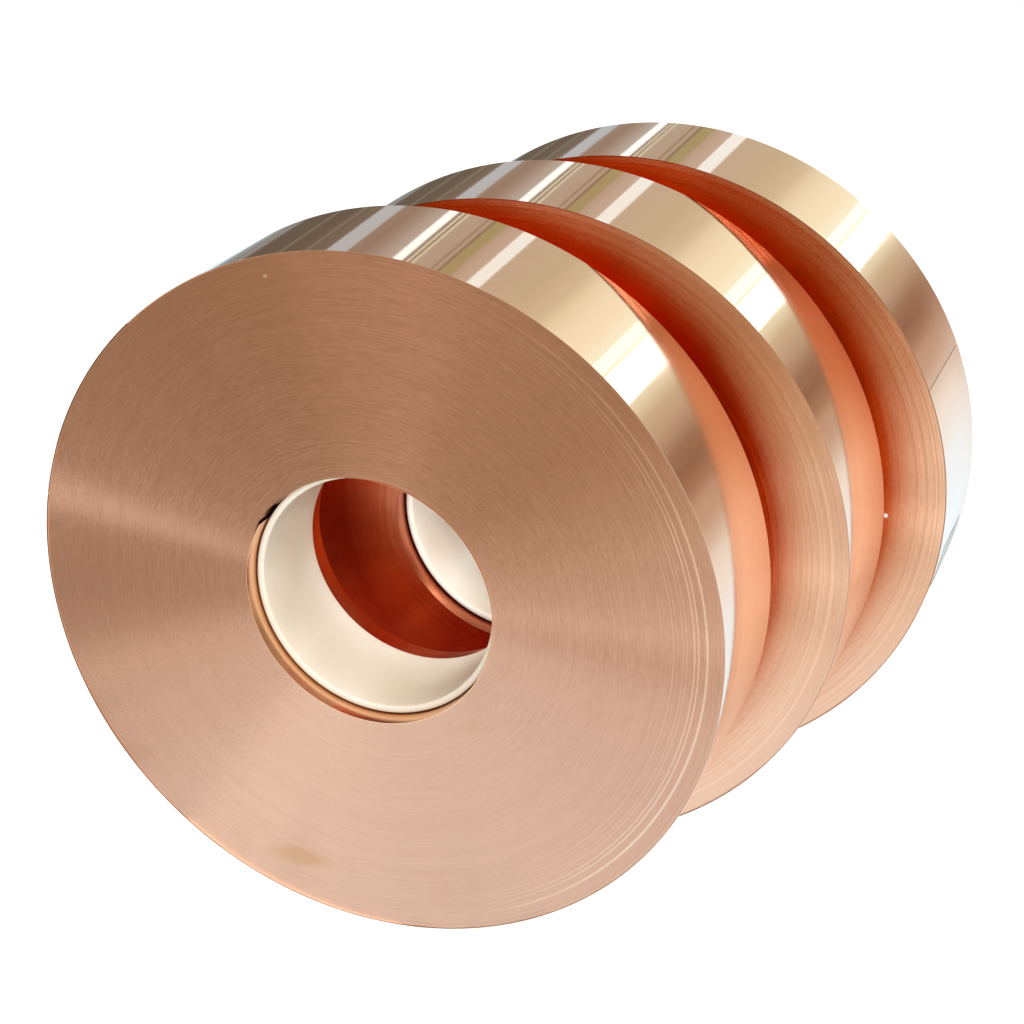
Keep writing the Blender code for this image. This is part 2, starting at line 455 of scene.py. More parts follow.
def placed_mark(tree, place, size, strength):
    """Soft oval spot round a place in metres: full in its middle, none beyond its size."""
    position = tree.nodes.new("ShaderNodeTexCoord")
    offset = add_node(tree, "ShaderNodeVectorMath", operation="SUBTRACT")
    tree.links.new(position.outputs["Object"], offset.inputs[0])
    offset.inputs[1].default_value = place
    scaled = add_node(tree, "ShaderNodeVectorMath", operation="DIVIDE")
    tree.links.new(offset.outputs["Vector"], scaled.inputs[0])
    scaled.inputs[1].default_value = size
    length = add_node(tree, "ShaderNodeVectorMath", operation="LENGTH")
    tree.links.new(scaled.outputs["Vector"], length.inputs[0])
    return map_range(tree, length.outputs["Value"], 0.4, 1.0, strength, 0.0)


def proud_turn_highlights(tree, turn, side):
    """Painted highlight on thin proud turns near the rim, only on the right-hand side, as a mask."""
    thin = map_range(tree, line_noise(tree, turn, 1100.0, 1.0), 0.57, 0.66, 0.0, 0.75)
    near_rim = map_range(tree, turn, 0.048, 0.070, 0.0, 1.0)
    on_right = map_range(tree, side, 0.10, 0.28, 0.0, 1.0)
    return math_node(tree, "MULTIPLY", math_node(tree, "MULTIPLY", thin, near_rim), on_right)


def painted_hole_light(tree, turn, side):
    """Painted light on a band of turns beside the hole, on the left, which light through the bores still
    reaches.
    """
    band = map_range(tree, turn, 0.009, 0.019, 0.9, 0.0)
    on_left = map_range(tree, side, -0.22, -0.08, 1.0, 0.0)
    return math_node(tree, "MULTIPLY", band, on_left)


EDGE_DARK = (0.58, 0.315, 0.215, 1.0)
EDGE_LIGHT = (0.75, 0.44, 0.32, 1.0)
TARNISH_BROWN = (0.50, 0.24, 0.12, 1.0)
# Colour of the painted highlight on proud turns.
PROUD_HIGHLIGHT_PINK = (0.98, 0.71, 0.57, 1.0)
STAIN_BROWN = (0.55, 0.25, 0.09, 1.0)
# Painted shade between two rolls in three steps, then painted light beside the hole:
SHADE_PINK = (0.98, 0.62, 0.44, 1.0)
SHADE_ORANGE = (0.74, 0.28, 0.12, 1.0)
SHADE_RED = (0.54, 0.050, 0.001, 1.0)
HOLE_LIGHT_ORANGE = (1.0, 0.21, 0.02, 1.0)
SPOT_WHITE = (1.0, 0.95, 0.88, 1.0)
CREVICE_REACH = 0.045
GLANCE = (-0.40, 0.0, -0.60)
FOOT_STAIN = ((-0.0463, -0.0920, 0.0183), (0.014, 0.004, 0.0045), 0.5)
FACE_SPECK = ((-0.0486, -0.0920, 0.2137), (0.0010, 0.004, 0.0007), 0.7)
# Painted glint on a foil edge of the rear roll.
REAR_GLINT = ((0.1115, 0.0408, 0.1093), (0.0009, 0.004, 0.0011), 1.0)


def make_edge_copper():
    """Satin copper with circular dashes and browner stains; painted shade turns it deep red between two
    rolls, with painted light by the hole, painted highlights on proud turns and a painted glint.
    """
    material, tree, shader = new_material(
        "slit_edge_copper", Metallic=1.0, Roughness=0.21, Anisotropic=1.0
    )
    turn = add_node(tree, "ShaderNodeAttribute", attribute_name="turn")
    lean = add_node(tree, "ShaderNodeAttribute", attribute_name="lean")
    side = split_vector(tree, lean.outputs["Vector"])["X"]
    lines = place_group(tree, fine_lines, Position=turn.outputs["Fac"], Bands=0.5)
    coarse = place_group(
        tree, turn_dashes, Position=turn.outputs["Fac"], Heading=lean.outputs["Vector"],
        Across=1700.0, Along=48.0,
    )
    tone = math_node(tree, "MULTIPLY_ADD", coarse.outputs["Mask"], 1.1, lines.outputs["Tone"])
    mix = map_range(tree, tone, 0.65, 1.95, 0.0, 1.0)
    colour = blend_colours(tree, mix, EDGE_DARK, EDGE_LIGHT)
    tarnish = math_node(tree, "MULTIPLY", stain_mask(tree, 34.0, 0.62), 0.22)
    colour = blend_colours(tree, tarnish, colour, TARNISH_BROWN)
    # Painted highlight on proud turns near the rim, on the right-hand side.
    ridge_highlight = proud_turn_highlights(tree, turn.outputs["Fac"], side)
    colour = blend_colours(tree, ridge_highlight, colour, PROUD_HIGHLIGHT_PINK)
    colour = blend_colours(tree, placed_mark(tree, *FOOT_STAIN), colour, STAIN_BROWN)
    # Painted shade: the less open, the more pink, then orange, then deep red.
    openness = crevice_openness(tree, CREVICE_REACH, GLANCE)
    pink_shade = map_range(tree, openness, 0.72, 0.88, 0.8, 0.0)
    colour = blend_colours(tree, pink_shade, colour, SHADE_PINK)
    near = map_range(tree, openness, 0.57, 0.67, 1.0, 0.0)
    colour = blend_colours(tree, near, colour, SHADE_ORANGE)
    deep = map_range(tree, openness, 0.51, 0.60, 1.0, 0.0)
    colour = blend_colours(tree, deep, colour, SHADE_RED)
    # Painted light: beside the hole the deep red turns orange.
    glow = math_node(tree, "MULTIPLY", deep, painted_hole_light(tree, turn.outputs["Fac"], side))
    colour = blend_colours(tree, glow, colour, HOLE_LIGHT_ORANGE)
    # A white spot on the front face, and a painted glint on a foil edge of the rear roll.
    for white_spot in (FACE_SPECK, REAR_GLINT):
        colour = blend_colours(tree, placed_mark(tree, *white_spot), colour, SPOT_WHITE)
    tree.links.new(colour, shader.inputs["Base Color"])
    rough = map_range(tree, coarse.outputs["Mask"], 0.3, 0.7, 0.19, 0.24)
    tree.links.new(rough, shader.inputs["Roughness"])
    height = math_node(tree, "MULTIPLY_ADD", coarse.outputs["Mask"], 1.5, lines.outputs["Height"])
    bump_to_normal(tree, shader, height, 0.000035, leaning_normal(tree, lean.outputs["Vector"]))
    radial_tangent(tree, shader)
    return material


edge_copper = make_edge_copper()
print("material:", edge_copper.name)

# %% [markdown]
# ## Copper, seen on its rolled face
#
# The rim is the face of the foil itself, a mirror bent round the roll, which is why it
# shows clean bands from edge to edge. The lines that rolling leaves are so faint that one
# low roughness serves every direction. On the right towards the back the polish is duller.
# The foil inside the hole is softer and takes a stronger orange as painted light, and painted shade reddens
# it where little light gets in.

# %% Material of the rolled faces
HOLE_REACH = 0.10
HOLE_GLANCE = (0.0, -1.2, 0.0)
WORN_HEADING = -0.20


def make_bright_copper(name, light, dark, roughness, worn=0.0, shade=None):
    """Mirror copper with faint lines along the strip and slight clouds in its polish.

    worn is how much rougher the polish is on the right-hand side towards the back: the
    cosine of the heading about the axis, times a ramp across the foil. shade is a painted
    shade colour for places that see little light.
    """
    material, tree, shader = new_material(name, Metallic=1.0, Roughness=roughness)
    across = add_node(tree, "ShaderNodeUVMap", uv_map="foil")
    place = split_vector(tree, across.outputs["UV"])
    lines = place_group(tree, fine_lines, Position=place["X"], Bands=0.6)
    tone = map_range(tree, lines.outputs["Tone"], 0.45, 1.15, 0.0, 1.0)
    colour = blend_colours(tree, tone, dark, light)
    if shade is not None:
        openness = crevice_openness(tree, HOLE_REACH, HOLE_GLANCE)
        hidden = map_range(tree, openness, 0.22, 0.42, 1.0, 0.0)
        colour = blend_colours(tree, hidden, colour, shade)
    tree.links.new(colour, shader.inputs["Base Color"])
    clouds = stain_mask(tree, 26.0, 0.45)
    rough = map_range(tree, clouds, 0.0, 1.0, roughness, roughness + 0.01)
    if worn > 0.0:
        per_metre = 1.0 / rolls["front"]["rim"]
        heading = math_node(tree, "MULTIPLY_ADD", place["Y"], per_metre, WORN_HEADING)
        on_right = map_range(tree, math_node(tree, "COSINE", heading), 0.74, 0.96, 0.0, 1.0)
        to_back = map_range(tree, place["X"], 0.010, 0.048, 0.0, worn)
        rough = math_node(tree, "MULTIPLY_ADD", on_right, to_back, rough)
    tree.links.new(rough, shader.inputs["Roughness"])
    bump_to_normal(tree, shader, lines.outputs["Height"], 0.000002)
    return material


rim_copper = make_bright_copper(
    "rolled_copper", (0.955, 0.68, 0.55, 1.0), (0.92, 0.63, 0.49, 1.0), 0.025, worn=0.20
)
# The inner turns' stronger orange is painted light inside the hole, and their red shade colour is painted
# shade.
inner_copper = make_bright_copper(
    "inner_turn_copper", (1.0, 0.65, 0.42, 1.0), (0.98, 0.56, 0.32, 1.0), 0.22,
    shade=(0.55, 0.06, 0.01, 1.0),
)
print("materials:", rim_copper.name, inner_copper.name)

# %% [markdown]
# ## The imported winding
#
# The winding is one closed ring, with an outline that follows the hole's wall, the back
# face, the underside of the rim and the front face. The faces are not flat: every few
# turns the foil has wandered sideways by some hundredths of a millimetre, and a few turns
# stand clearly proud. That wander depends on how far out the turn lies and fades slowly
# round the roll, so it stays smooth along each turn.

# %% Winding surface
AROUND = 256
FACE_TURNS = 168
WALL_ROWS = 6
FACE_SET_BACK = 0.30 * MM
HOLE_GAP = 0.46 * MM
BURR_LEAN = 0.26
WEDGE_DEPTH = 0.75 * MM
WEDGE_ANGLE = 145.0
WEDGE_SPREAD = 8.0
angles = np.linspace(0.0, 2.0 * math.pi, AROUND, endpoint=False) + math.pi / AROUND
print("stations round the roll:", AROUND, "turns drawn on a face:", FACE_TURNS)


def wander(seed, out):
    """Sideways wander of the turns, in metres, for each angle and each place out.

    Each drawn turn gets a small random step that swells and fades once round the roll. A
    few proud turns near the rim and the hole are narrow bell curves.
    """
    local = np.random.default_rng(seed)
    steps = local.normal(0.0, 0.006 * MM, out.size)
    groups = np.repeat(local.normal(0.0, 0.012 * MM, out.size // 7 + 1), 7)[:out.size]
    headings = local.uniform(0.0, 6.28, out.size // 7 + 1).repeat(7)[:out.size]
    swell = 1.0 + 0.7 * np.cos(angles[:, None] - headings[None, :])
    surface = (steps + groups)[None, :] * swell
    for place, height, width, heading in (
        (0.972, 0.07, 0.004, 0.3), (0.951, 0.045, 0.004, 0.2), (0.917, 0.05, 0.004, 0.1),
        (0.868, 0.035, 0.004, 0.0), (0.06, 0.04, 0.006, 3.6), (0.13, 0.03, 0.006, 3.4),
    ):
        bump = height * MM * np.exp(-((out - place) / width) ** 2)
        surface += bump[None, :] * (0.55 + 0.45 * np.cos(angles[:, None] - heading))
    edge = np.clip(np.minimum(out, 1.0 - out) / 0.01, 0.0, 1.0)
    return np.clip(surface * edge[None, :], -0.22 * MM, 0.28 * MM)


def edge_lean(seed):
    """Lean of the edges: outwards along the radius on both faces, a little uneven round it.

    The lean is BURR_LEAN times 0.72 at the hole and 1.22 at the rim, times one plus a few
    slow waves of the angle. There is none on the hole's wall and under the rim.
    """
    local = np.random.default_rng(seed)
    uneven = np.ones(AROUND)
    for waves in (2, 5, 9, 17, 31):
        uneven += 0.05 * np.cos(waves * angles + local.uniform(0.0, 2.0 * math.pi))
    face = np.ones(FACE_TURNS)
    wall = np.zeros(WALL_ROWS)
    on_face = np.concatenate([face, wall, face, wall])
    out = np.linspace(0.0, 1.0, FACE_TURNS)
    growth = np.concatenate([out[::-1], wall, out, wall])
    size = BURR_LEAN * (0.72 + 0.5 * growth)[None, :] * uneven[:, None] * on_face[None, :]
    lean_x = size * np.cos(angles)[:, None]
    lean_z = size * np.sin(angles)[:, None]
    return np.stack([lean_x, np.zeros_like(size), lean_z], axis=-1)


def dress(piece, body, node):
    """Attach a piece to the body it moves with and hide the imported node that it stands for."""
    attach(piece, body)
    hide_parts(node)
    return piece


def add_winding(roll, seed):
    """Ring whose faces wander and whose hole sits a little above the rim's centre.

    Where the first turn begins, the turns above it bridge its cut edge, so the wall lifts
    off the core by a bell curve of the angle, WEDGE_DEPTH high.
    """
    hole = roll["core_outer"] + HOLE_GAP
    rim = roll["rim"] - 2.3 * FOIL
    out = np.linspace(0.0, 1.0, FACE_TURNS)
    radius = hole + (rim - hole) * out
    rise = roll["rise"] * (1.0 - out)
    wall = np.linspace(0.0, 1.0, WALL_ROWS + 2)[1:-1]
    front = roll["front"] + FACE_SET_BACK
    back = roll["back"] - FACE_SET_BACK
    hole_wall = np.full(WALL_ROWS, hole)
    under_rim = np.full(WALL_ROWS, rim)
    all_radius = np.concatenate([radius[::-1], hole_wall, radius, under_rim])
    wall_rise = np.full(WALL_ROWS, roll["rise"])
    all_rise = np.concatenate([rise[::-1], wall_rise, rise, np.zeros(WALL_ROWS)])
    depth_in = front + (back - front) * wall
    front_y = np.full(FACE_TURNS, front)
    back_y = np.full(FACE_TURNS, back)
    flat_y = np.concatenate([front_y, depth_in, back_y, depth_in[::-1]])
    y = np.repeat(flat_y[None, :], AROUND, axis=0)
    y[:, :FACE_TURNS] -= wander(seed, out)[:, ::-1]
    second_face = FACE_TURNS + WALL_ROWS
    y[:, second_face:second_face + FACE_TURNS] += wander(seed + 50, out)
    reach_in = np.clip((rim - all_radius) / (rim - hole), 0.0, 1.0) ** 9
    wedge = WEDGE_DEPTH * np.exp(-((np.degrees(angles) - WEDGE_ANGLE) / WEDGE_SPREAD) ** 2)
    lifted = all_radius[None, :] + wedge[:, None] * reach_in[None, :]
    grid = round_the_axis(roll, lifted, y, angles[:, None], all_rise[None, :])
    outline = np.stack([all_radius, flat_y], axis=-1)
    turn = np.repeat((all_radius - hole)[None, :], AROUND, axis=0)
    around = np.linspace(0.0, 2.0 * math.pi * roll["rim"], AROUND + 1)
    piece = grid_piece(
        f"{roll['name']}_wound_foil", grid, True, running_length(outline), around,
        turn, edge_lean(seed),
    )
    for material in (edge_copper, inner_copper, rim_copper):
        piece.data.materials.append(material)
    corner = np.arange(len(piece.data.polygons)) % all_radius.size
    on_wall = (corner >= FACE_TURNS - 1) & (corner < second_face)
    on_rim = corner >= second_face + FACE_TURNS - 1
    piece.data.polygons.foreach_set("material_index", on_wall.astype(np.int32) + 2 * on_rim)
    return dress(piece, f"{roll['name']}_roll", f"{roll['name']}_winding")


for number, roll in enumerate(rolls.values()):
    add_winding(roll, 11 + number)

# %% [markdown]
# ## The last turn, the tail and the first turn
#
# These are single thicknesses of foil, so each is a thin closed plate bent round the roll.
# The last turn is a spiral that sinks by one thickness until it lies under the tail's free
# end. TAIL_SLIT, a hair's width, stays open where the tail leaves the roll, or its root
# would cut into the roll as it turns. The first turn's cut edge lies down on the core and
# leaves a dark wedge.

# %% Foil plates
FOIL_ROWS = 14
START_JOIN = 150.0
START_EDGE = 496.0


def foil_outline(front, back):
    """Corners of a strip's cut section: out along its top, back along its bottom.

    Returns y for each corner and 1 for the outer side or 0 for the inner side.
    """
    across = np.linspace(front, back, FOIL_ROWS)
    return np.concatenate([across, across[::-1]]), np.repeat([1.0, 0.0], FOIL_ROWS)


def foil_plate(name, roll, from_deg, to_deg, outer, thickness, rise, material, edges=0.0):
    """Bent strip of foil from one angle to another.

    outer gives the outer radius for an array of angles in degrees. edges is how far the
    strip's two long edges wave in and out, in metres.
    """
    count = max(8, int((to_deg - from_deg) / 1.25))
    degrees = np.linspace(from_deg, to_deg, count)
    y, side = foil_outline(roll["front"] + 0.12 * MM, roll["back"] - 0.12 * MM)
    radius = outer(degrees)[:, None] - thickness * (1.0 - side)[None, :]
    heading = np.radians(degrees)
    wave = edges * (np.sin(5.0 * heading + 0.8) + 0.5 * np.sin(13.0 * heading))
    off_middle = y - y.mean()
    at_edge = np.abs(off_middle) > (y.max() - y.min()) * 0.49
    shifted = y[None, :] - np.abs(wave)[:, None] * (np.sign(off_middle) * at_edge)[None, :]
    grid = round_the_axis(roll, radius, shifted, heading[:, None], rise)
    along = running_length(np.stack([side * thickness, y], axis=-1))
    around = np.append(heading, heading[-1]) * roll["rim"]
    piece = grid_piece(name, grid, False, along, around)
    piece.data.materials.append(material)
    return piece


def add_last_turn(roll):
    """Spiral last turn and tail: rim radius less one thickness for each whole turn."""
    end = roll["tail_end"]
    name = roll["name"]

    def outer(degrees):
        return roll["rim"] - FOIL * (degrees - end) / 360.0

    turn = foil_plate(
        f"{name}_last_turn_foil", roll, end + TAIL_SPAN + TAIL_SLIT, end + 359.9,
        outer, 1.15 * FOIL, 0.0, rim_copper, 0.05 * MM,
    )
    dress(turn, f"{name}_roll", f"{name}_last_turn")
    tail = foil_plate(
        f"{name}_tail_foil", roll, end, end + TAIL_SPAN,
        outer, FOIL, 0.0, rim_copper, 0.05 * MM,
    )
    return dress(tail, f"{name}_tail", f"{name}_tail")


def add_start_turn(roll):
    """First turn: its cut edge lies on the core, then it climbs to the winding's wall."""
    name = roll["name"]

    def outer(degrees):
        climb = np.clip((START_EDGE - degrees) / 50.0, 0.0, 1.0)
        smooth = climb * climb * (3.0 - 2.0 * climb)
        return roll["core_outer"] + 0.28 * MM + 0.15 * MM * smooth

    turn = foil_plate(
        f"{name}_first_turn_foil", roll, START_JOIN, START_EDGE,
        outer, FOIL, roll["rise"], inner_copper, 0.04 * MM,
    )
    return dress(turn, f"{name}_roll", f"{name}_start_turn")


for roll in rolls.values():
    add_last_turn(roll)
    add_start_turn(roll)

# %% [markdown]
# ## The plastic core
#
# The core is a moulded tube: a rectangle with quarter circles for corners, turned once
# round the axis. Ivory plastic shines softly and is never quite even, so it carries slow
# clouds, a few specks and the faint rings that the tool leaves, and its front lip is greyer
# as painted shade.

# %% Ivory plastic


def make_ivory():
    """Glossy ivory with slow clouds, tool rings, a few dark specks and a greyer front lip as painted shade.
    """
    material, tree, shader = new_material(
        "ivory_plastic", Roughness=0.28, Coat_Weight=0.25, Coat_Roughness=0.12
    )
    place = tree.nodes.new("ShaderNodeTexCoord")
    clouds = add_node(tree, "ShaderNodeTexNoise", Scale=38.0, Detail=3.0)
    tree.links.new(place.outputs["Object"], clouds.inputs["Vector"])
    mix = map_range(tree, clouds.outputs["Fac"], 0.35, 0.65, 0.0, 1.0)
    ivory = blend_colours(tree, mix, (0.74, 0.69, 0.57, 1.0), (0.82, 0.78, 0.69, 1.0))
    # Painted shade: faces turned to the front, the lip above all, are greyer and darker.
    surface = tree.nodes.new("ShaderNodeNewGeometry")
    facing = split_vector(tree, surface.outputs["Normal"])["Y"]
    front_lip_shade = map_range(tree, facing, -0.25, -0.85, 0.0, 0.75)
    ivory = blend_colours(tree, front_lip_shade, ivory, (0.56, 0.54, 0.49, 1.0))
    specks = stain_mask(tree, 420.0, 0.72)
    faint = math_node(tree, "MULTIPLY", specks, 0.5)
    colour = blend_colours(tree, faint, ivory, (0.62, 0.53, 0.38, 1.0))
    tree.links.new(colour, shader.inputs["Base Color"])
    rough = map_range(tree, clouds.outputs["Fac"], 0.3, 0.7, 0.30, 0.36)
    tree.links.new(rough, shader.inputs["Roughness"])
    depth = split_vector(tree, place.outputs["Object"])["Y"]
    rings = place_group(tree, fine_lines, Position=depth, Bands=0.4)
    bump_to_normal(tree, shader, rings.outputs["Height"], 0.000012)
    return material


ivory = make_ivory()
print("material:", ivory.name)

# %% Core rings
CORE_WALL = 2.2 * MM
LIP_RADIUS = 1.05 * MM
LIP_POINTS = 7
BARREL_POINTS = 16


def rounded_outline(inner, outer, front, back, lip):
    """Closed outline of a rounded rectangle: four quarter circles joined by straight runs."""
    quarter = np.linspace(0.0, math.pi / 2.0, LIP_POINTS)
    corners = [
        (outer - lip, back - lip, 0.0), (inner + lip, back - lip, math.pi / 2.0),
        (inner + lip, front + lip, math.pi), (outer - lip, front + lip, 1.5 * math.pi),
    ]
    arcs = [
        np.stack([r + lip * np.cos(quarter + turn), y + lip * np.sin(quarter + turn)], axis=-1)
        for r, y, turn in corners
    ]
    inside = np.linspace(back - lip, front + lip, BARREL_POINTS + 2)[1:-1]
    outside = inside[::-1]
    return np.concatenate([
        arcs[0], arcs[1], np.stack([np.full(BARREL_POINTS, inner), inside], axis=-1),
        arcs[2], arcs[3], np.stack([np.full(BARREL_POINTS, outer), outside], axis=-1),
    ])


def add_core(roll):
    """Turned core ring with rounded lips."""
    outline = rounded_outline(
        roll["core_outer"] - CORE_WALL, roll["core_outer"], roll["core_front"], roll["core_back"], LIP_RADIUS
    )
    grid = round_the_axis(roll, outline[None, :, 0], outline[None, :, 1], angles[:, None], roll["rise"])
    around = np.linspace(0.0, 2.0 * math.pi * roll["core_outer"], AROUND + 1)
    piece = grid_piece(f"{roll['name']}_core_ring", grid, True, running_length(outline), around)
    piece.data.materials.append(ivory)
    return dress(piece, f"{roll['name']}_roll", f"{roll['name']}_core")


for roll in rolls.values():
    add_core(roll)

# %% [markdown]
# ## The adhesive strip and the end tab
#
# Two scraps of tape finish a roll: a straw-coloured double-sided strip under the first
# turn, and a clear tab that keeps the tail shut. Both are thin plates bent to their radius.
# A corner is rounded by shortening the rows near it along a quarter circle.

# %% Tape plates
TAPE_ROWS = 18


def tape_plate(name, roll, radius, thickness, low_y, high_y, from_deg, to_deg, rise, corner):
    """Bent plate with rounded corners, swept from its front edge to its back edge.

    Each station is one row across the plate. Its half length is cut back by
    corner minus the height of a quarter circle of that radius.
    """
    t = np.linspace(0.0, 1.0, TAPE_ROWS)
    y = low_y + (high_y - low_y) * (0.5 - 0.5 * np.cos(math.pi * t))
    to_edge = np.minimum(y - low_y, high_y - y)
    inside = np.clip(corner - to_edge, 0.0, corner)
    cut = corner - np.sqrt(np.maximum(corner ** 2 - inside ** 2, 0.0))
    middle = math.radians((from_deg + to_deg) / 2.0)
    reach = math.radians((to_deg - from_deg) / 2.0) - 0.98 * cut / radius
    across = np.linspace(-1.0, 1.0, 15)
    arc = middle + reach[:, None] * np.concatenate([across, across[::-1]])[None, :]
    shell = radius + thickness * np.repeat([1.0, 0.0], across.size)[None, :]
    grid = round_the_axis(roll, np.broadcast_to(shell, arc.shape), y[:, None], arc, rise)
    along = np.linspace(0.0, 2.0 * (to_deg - from_deg) * radius * math.pi / 180.0, arc.shape[1] + 1)
    return grid_piece(name, grid, False, along, np.append(y, y[-1]))


def make_film():
    """Clear film: mostly see-through, greyish, glossy, with dull patches of trapped air."""
    material, tree, shader = new_material("clear_film", Roughness=0.12, IOR=1.47)
    air = stain_mask(tree, 120.0, 0.48)
    colour = blend_colours(tree, air, (0.30, 0.34, 0.30, 1.0), (0.48, 0.52, 0.47, 1.0))
    tree.links.new(colour, shader.inputs["Base Color"])
    tree.links.new(map_range(tree, air, 0.0, 1.0, 0.10, 0.3), shader.inputs["Roughness"])
    tree.links.new(map_range(tree, air, 0.0, 1.0, 0.70, 0.88), shader.inputs["Alpha"])
    return material


def make_straw_tape():
    """Matt double-sided tape: straw coloured paper with a fine grain."""
    material, tree, shader = new_material("straw_tape", Roughness=0.6)
    grain = stain_mask(tree, 900.0, 0.45)
    colour = blend_colours(tree, grain, (0.72, 0.60, 0.36, 1.0), (0.80, 0.70, 0.47, 1.0))
    tree.links.new(colour, shader.inputs["Base Color"])
    bump_to_normal(tree, shader, grain, 0.00002)
    return material


film = make_film()
straw_tape = make_straw_tape()
print("materials:", film.name, straw_tape.name)


def add_tapes(roll):
    """The strip under the first turn and the tab over the tail's end."""
    name = roll["name"]
    end = roll["tail_end"]
    strip_low, strip_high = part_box(f"{name}_core_strip")
    strip = tape_plate(
        f"{name}_strip_tape", roll, roll["core_outer"] + 0.02 * MM, 0.10 * MM,
        strip_low.y, strip_high.y, 107.0, 133.0, roll["rise"], 1.5 * MM,
    )
    strip.data.materials.append(straw_tape)
    dress(strip, f"{name}_roll", f"{name}_core_strip")
    tab_low, tab_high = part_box(f"{name}_end_tab")
    tab = tape_plate(
        f"{name}_end_tab_film", roll, roll["rim"] + 0.02 * MM, 0.08 * MM,
        tab_low.y, tab_high.y, end - 4.75, end + 4.75, 0.0, 2.5 * MM,
    )
    tab.data.materials.append(film)
    dress(tab, f"{name}_tail", f"{name}_end_tab")


for roll in rolls.values():
    add_tapes(roll)
print("tapes on", len(rolls), "rolls")

# %% [markdown]
# ## Floor and studio light
#
# Polished copper shows nothing but the room. Long strip lights and dark flags run beside
# the rolls, parallel to their axes, and each one shows on a rim as a clean band. They are
# painted on the sky by their angle about that axis, which costs no noise, and the camera
# itself sees plain white. The ground is like a light table, nearly without shadow. Copper
# doesn't mirror it, because the sky's lower half already stands for it.

# %% Floor
FLOOR_SIDE = 1.3
FLOOR_NEAR = -0.55
FLOOR_FAR = 1.4
FLOOR_DROP = -0.3 * MM


def add_floor():
    """Plain white ground that gives off a little light of its own."""
    mesh = bpy.data.meshes.new("studio_floor")
    corners = [
        (-FLOOR_SIDE, FLOOR_NEAR, FLOOR_DROP), (FLOOR_SIDE, FLOOR_NEAR, FLOOR_DROP),
        (FLOOR_SIDE, FLOOR_FAR, FLOOR_DROP), (-FLOOR_SIDE, FLOOR_FAR, FLOOR_DROP),
    ]
    mesh.from_pydata(corners, [], [(0, 1, 2, 3)])
    floor = bpy.data.objects.new("studio_floor", mesh)
    bpy.context.collection.objects.link(floor)
    material, _, _ = new_material(
        "light_table", Base_Color=(0.30, 0.32, 0.33, 1.0), Roughness=0.9,
        Emission_Color=(0.80, 0.80, 0.80, 1.0), Emission_Strength=1.0,
    )
    mesh.materials.append(material)
    floor.visible_glossy = False
    floor.visible_shadow = False
    floor.visible_diffuse = False
    return floor


add_floor()
print("floor", 2 * FLOOR_SIDE, "m across")

# %% Strip lights and flags, by angle
SKY_SCALE = 3.0
BACK_LOW = (
    (-140, 0.90, 0.84, 0.74), (-100, 0.86, 0.82, 0.74), (-90, 0.90, 1.02, 1.08),
    (-80, 0.94, 1.15, 1.27), (-50, 0.94, 1.15, 1.27), (-44, 0.96, 1.10, 1.15),
    (-32, 0.94, 1.00, 0.97), (-26, 0.88, 0.90, 0.84), (-20, 0.72, 0.65, 0.54),
    (-14, 0.61, 0.47, 0.36), (-7, 0.57, 0.42, 0.31), (-2, 0.42, 0.27, 0.18),
    (5, 0.32, 0.19, 0.12), (12, 0.36, 0.24, 0.16), (20, 0.54, 0.45, 0.33),
    (28, 0.65, 0.60, 0.43), (35, 0.90, 1.00, 0.80), (54, 1.03, 1.26, 1.08),
    (60, 1.02, 1.10, 0.87),
)
BACK_HIGH = (
    (60, 1.02, 1.10, 0.87), (67, 0.97, 1.03, 0.81), (74, 0.87, 0.90, 0.68),
    (79, 0.71, 0.69, 0.50), (88, 0.61, 0.58, 0.41), (110, 0.58, 0.52, 0.44),
    (114, 0.50, 0.42, 0.32), (124, 0.50, 0.45, 0.36), (136, 0.50, 0.50, 0.46),
    (142, 0.39, 0.33, 0.27), (146, 0.33, 0.26, 0.20), (150, 0.34, 0.28, 0.22),
    (160, 0.21, 0.18, 0.14), (170, 0.155, 0.127, 0.095), (187, 0.15, 0.122, 0.090),
    (201, 0.36, 0.40, 0.40), (220, 0.40, 0.44, 0.44),
)
BACK_STRIPS = (
    (35.5, 48.0, 2.20, 2.20, 2.10), (48.0, 49.2, 1.15, 1.35, 1.15),
    (49.2, 54.0, 1.50, 1.75, 1.60), (102.6, 107.4, 0.97, 1.16, 1.20),
    (113.6, 117.6, 0.42, 0.40, 0.21), (117.6, 118.5, 0.28, 0.23, 0.16),
    (120.0, 120.8, 0.34, 0.30, 0.21), (127.2, 128.0, 0.80, 0.84, 0.66),
    (128.0, 129.0, 0.30, 0.27, 0.20), (129.0, 129.7, 0.85, 0.92, 0.76),
    (129.7, 131.2, 0.36, 0.33, 0.26), (131.2, 134.6, 1.20, 1.42, 1.50),
    (151.0, 158.4, 0.50, 0.58, 0.63), (165.0, 166.2, 0.24, 0.24, 0.18),
    (175.0, 176.5, 0.22, 0.22, 0.16), (190.0, 192.5, 0.30, 0.32, 0.30),
    (202.5, 220.0, 0.80, 0.94, 1.02),
)
